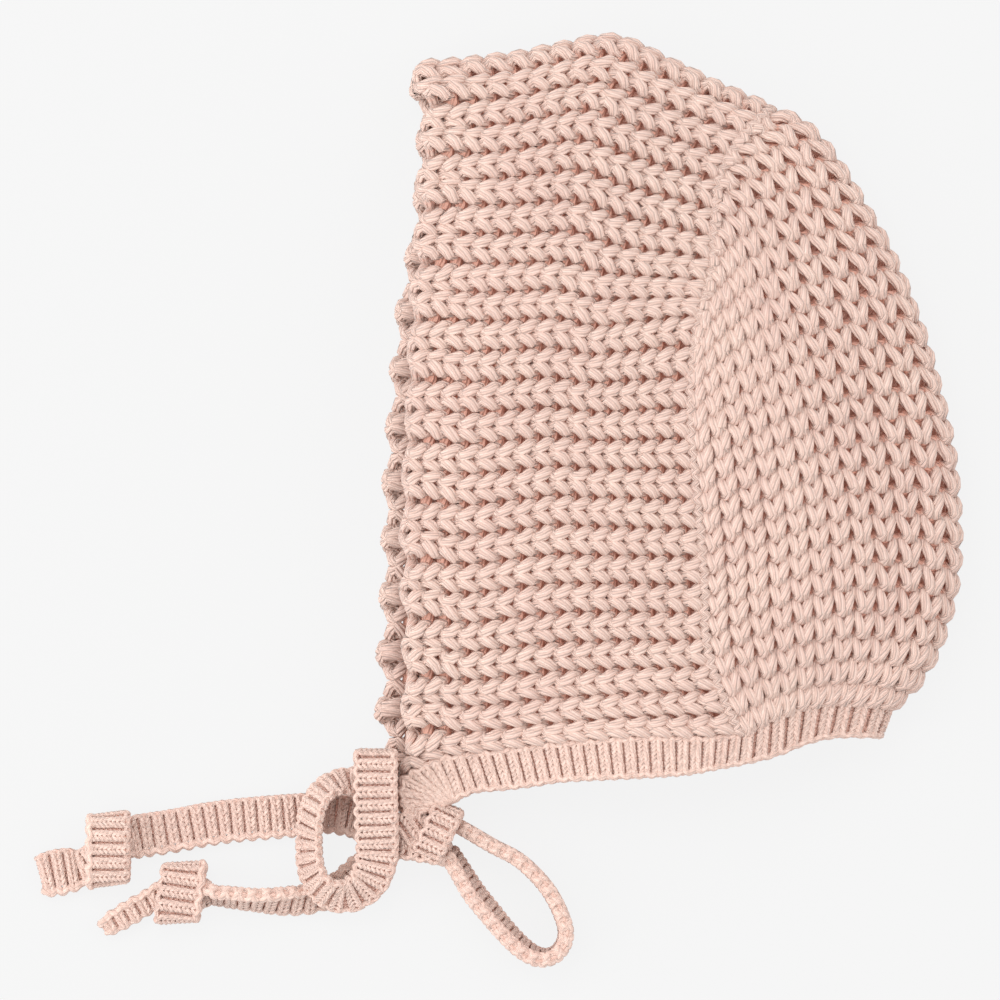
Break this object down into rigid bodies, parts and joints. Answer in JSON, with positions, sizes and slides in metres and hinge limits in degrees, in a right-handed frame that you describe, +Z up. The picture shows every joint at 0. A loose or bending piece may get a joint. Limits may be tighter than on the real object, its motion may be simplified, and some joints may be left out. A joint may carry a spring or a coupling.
{
  "type": "chunky knit baby bonnet",
  "caption": "Soft chunky rib knit baby bonnet laid flat on its side, with a ribbed front strip, a back panel, a neck band and ties in a bow.",
  "frame": {"origin": "under the middle of the bonnet's own box, without the bow and ties, on the surface that it lies on", "axes": "+X from the face opening to the back of the head, +Y from the neck to the crown, +Z up from the surface, out of the side of the head that shows"},
  "size_m": [0.2404, 0.2427, 0.035],
  "materials": {
    "front_rib": "soft matt chunky rib knit, pale pink",
    "back_rib": "soft matt chunky rib knit, pale pink",
    "fine_rib": "soft matt fine rib knit, pale pink",
    "tie_rib": "soft matt fine rib knit, pale pink"
  },
  "bodies": {
    "root": {"front_panel": "front_rib", "back_panel": "back_rib", "neck_band": "fine_rib", "bow_knot": "tie_rib", "bow_loop_left": "tie_rib", "bow_loop_right": "tie_rib", "tail_upper": "tie_rib", "tail_lower": "tie_rib", "end_knot_upper": "tie_rib", "end_knot_lower": "tie_rib", "tip_upper": "tie_rib", "tip_lower": "tie_rib"}
  },
  "joints": []
}
